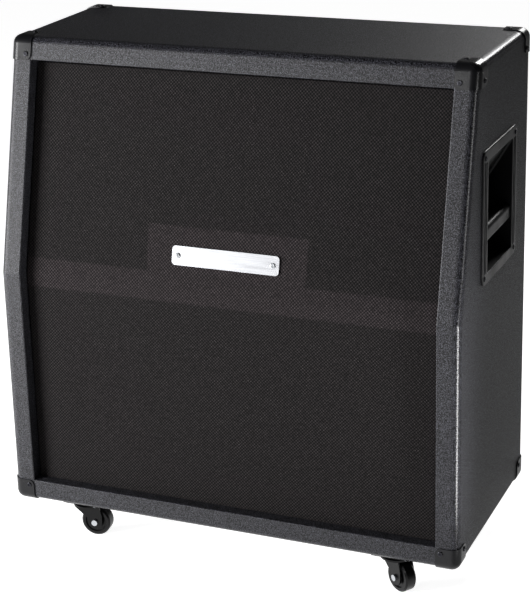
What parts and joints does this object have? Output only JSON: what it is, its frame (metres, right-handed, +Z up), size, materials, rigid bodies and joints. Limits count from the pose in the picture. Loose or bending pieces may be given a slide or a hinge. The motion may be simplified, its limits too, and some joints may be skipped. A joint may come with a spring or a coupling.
{
  "type": "guitar speaker cabinet",
  "caption": "Slant-front guitar speaker cabinet covered in black vinyl, with a recessed cloth grille, side pocket handles, corner protectors, a back jack plate and swivel casters.",
  "frame": {"origin": "on the floor under the middle of the cabinet's box", "axes": "+X to the cabinet's right as seen from the front, +Y to the back, +Z up; the grille faces -Y"},
  "size_m": [0.7712, 0.3752, 0.8296],
  "materials": {
    "vinyl": "pebbled black vinyl",
    "plywood": "raw birch plywood",
    "black_board": "matt black painted board",
    "grille_cloth": "woven black",
    "nameplate": "satin",
    "corner_plastic": "moulded satin black",
    "handle_plastic": "moulded satin black",
    "black_screw": "blackened",
    "zinc": "zinc plated",
    "basket_steel": "black enamel",
    "ferrite": "ground ferrite",
    "cone_paper": "felted dark paper",
    "doped_cloth": "doped cloth",
    "jack_plate": "black powder coat",
    "jack": "nickel plated",
    "lead": "matt flex",
    "caster_steel": "black enamel",
    "caster_wheel": "hard black rubber"
  },
  "bodies": {
    "cabinet": {"vinyl_covering": "vinyl", "side_panel_left": "plywood", "side_panel_right": "plywood", "top_panel": "plywood", "bottom_panel": "plywood", "front_batten_left": "plywood", "front_batten_right": "plywood", "front_batten_top": "plywood", "front_batten_bottom": "plywood", "upper_baffle": "black_board", "lower_baffle": "black_board", "baffle_post": "plywood", "back_panel": "black_board", "back_cleats": "plywood", "back_screws": "black_screw", "grille_frame": "black_board", "grille_cloth": "grille_cloth", "nameplate": "nameplate", "nameplate_screws": "zinc", "top_corners": "corner_plastic", "bottom_corners": "corner_plastic", "corner_screws": "black_screw", "handle_left": "handle_plastic", "handle_right": "handle_plastic", "handle_screws": "black_screw", "speaker_bolts": "zinc", "speaker_leads": "lead", "jack_plate": "jack_plate", "input_jacks": "jack", "caster_plates": "caster_steel", "caster_screws": "zinc", "speaker_basket_upper_left": "basket_steel", "speaker_magnet_upper_left": "ferrite", "speaker_suspension_upper_left": "doped_cloth", "speaker_basket_upper_right": "basket_steel", "speaker_magnet_upper_right": "ferrite", "speaker_suspension_upper_right": "doped_cloth", "speaker_basket_lower_left": "basket_steel", "speaker_magnet_lower_left": "ferrite", "speaker_suspension_lower_left": "doped_cloth", "speaker_basket_lower_right": "basket_steel", "speaker_magnet_lower_right": "ferrite", "speaker_suspension_lower_right": "doped_cloth"},
    "cone_upper_left": {"speaker_cone_upper_left": "cone_paper"},
    "cone_upper_right": {"speaker_cone_upper_right": "cone_paper"},
    "cone_lower_left": {"speaker_cone_lower_left": "cone_paper"},
    "cone_lower_right": {"speaker_cone_lower_right": "cone_paper"},
    "fork_front_left": {"caster_fork_front_left": "caster_steel", "caster_axle_front_left": "zinc"},
    "wheel_front_left": {"caster_wheel_front_left": "caster_wheel"},
    "fork_front_right": {"caster_fork_front_right": "caster_steel", "caster_axle_front_right": "zinc"},
    "wheel_front_right": {"caster_wheel_front_right": "caster_wheel"},
    "fork_back_left": {"caster_fork_back_left": "caster_steel", "caster_axle_back_left": "zinc"},
    "wheel_back_left": {"caster_wheel_back_left": "caster_wheel"},
    "fork_back_right": {"caster_fork_back_right": "caster_steel", "caster_axle_back_right": "zinc"},
    "wheel_back_right": {"caster_wheel_back_right": "caster_wheel"}
  },
  "joints": [
    {"name": "cone_stroke_upper_left", "type": "slide", "parent": "cabinet", "child": "cone_upper_left", "axis": [0, -0.9723, 0.2338], "range_m": [-0.004, 0.004], "stiffness_N_per_m": 2500},
    {"name": "cone_stroke_upper_right", "type": "slide", "parent": "cabinet", "child": "cone_upper_right", "axis": [0, -0.9723, 0.2338], "range_m": [-0.004, 0.004], "stiffness_N_per_m": 2500},
    {"name": "cone_stroke_lower_left", "type": "slide", "parent": "cabinet", "child": "cone_lower_left", "axis": [0, -1, 0], "range_m": [-0.004, 0.004], "stiffness_N_per_m": 2500},
    {"name": "cone_stroke_lower_right", "type": "slide", "parent": "cabinet", "child": "cone_lower_right", "axis": [0, -1, 0], "range_m": [-0.004, 0.004], "stiffness_N_per_m": 2500},
    {"name": "swivel_front_left", "type": "hinge", "parent": "cabinet", "child": "fork_front_left", "pos_m": [-0.269, -0.14, 0.055], "axis": [0, 0, 1], "continuous": true},
    {"name": "roll_front_left", "type": "hinge", "parent": "fork_front_left", "child": "wheel_front_left", "pos_m": [-0.25508, -0.13854, 0.025], "axis": [-0.1045, 0.9945, 0], "continuous": true},
    {"name": "swivel_front_right", "type": "hinge", "parent": "cabinet", "child": "fork_front_right", "pos_m": [0.269, -0.14, 0.055], "axis": [0, 0, 1], "continuous": true},
    {"name": "roll_front_right", "type": "hinge", "parent": "fork_front_right", "child": "wheel_front_right", "pos_m": [0.28061, -0.14783, 0.025], "axis": [0.5592, 0.829, 0], "continuous": true},
    {"name": "swivel_back_left", "type": "hinge", "parent": "cabinet", "child": "fork_back_left", "pos_m": [-0.269, 0.139, 0.055], "axis": [0, 0, 1], "continuous": true},
    {"name": "roll_back_left", "type": "hinge", "parent": "fork_back_left", "child": "wheel_back_left", "pos_m": [-0.26308, 0.15169, 0.025], "axis": [-0.9063, 0.4226, 0], "continuous": true},
    {"name": "swivel_back_right", "type": "hinge", "parent": "cabinet", "child": "fork_back_right", "pos_m": [0.269, 0.139, 0.055], "axis": [0, 0, 1], "continuous": true},
    {"name": "roll_back_right", "type": "hinge", "parent": "fork_back_right", "child": "wheel_back_right", "pos_m": [0.26308, 0.15169, 0.025], "axis": [-0.9063, -0.4226, 0], "continuous": true}
  ]
}
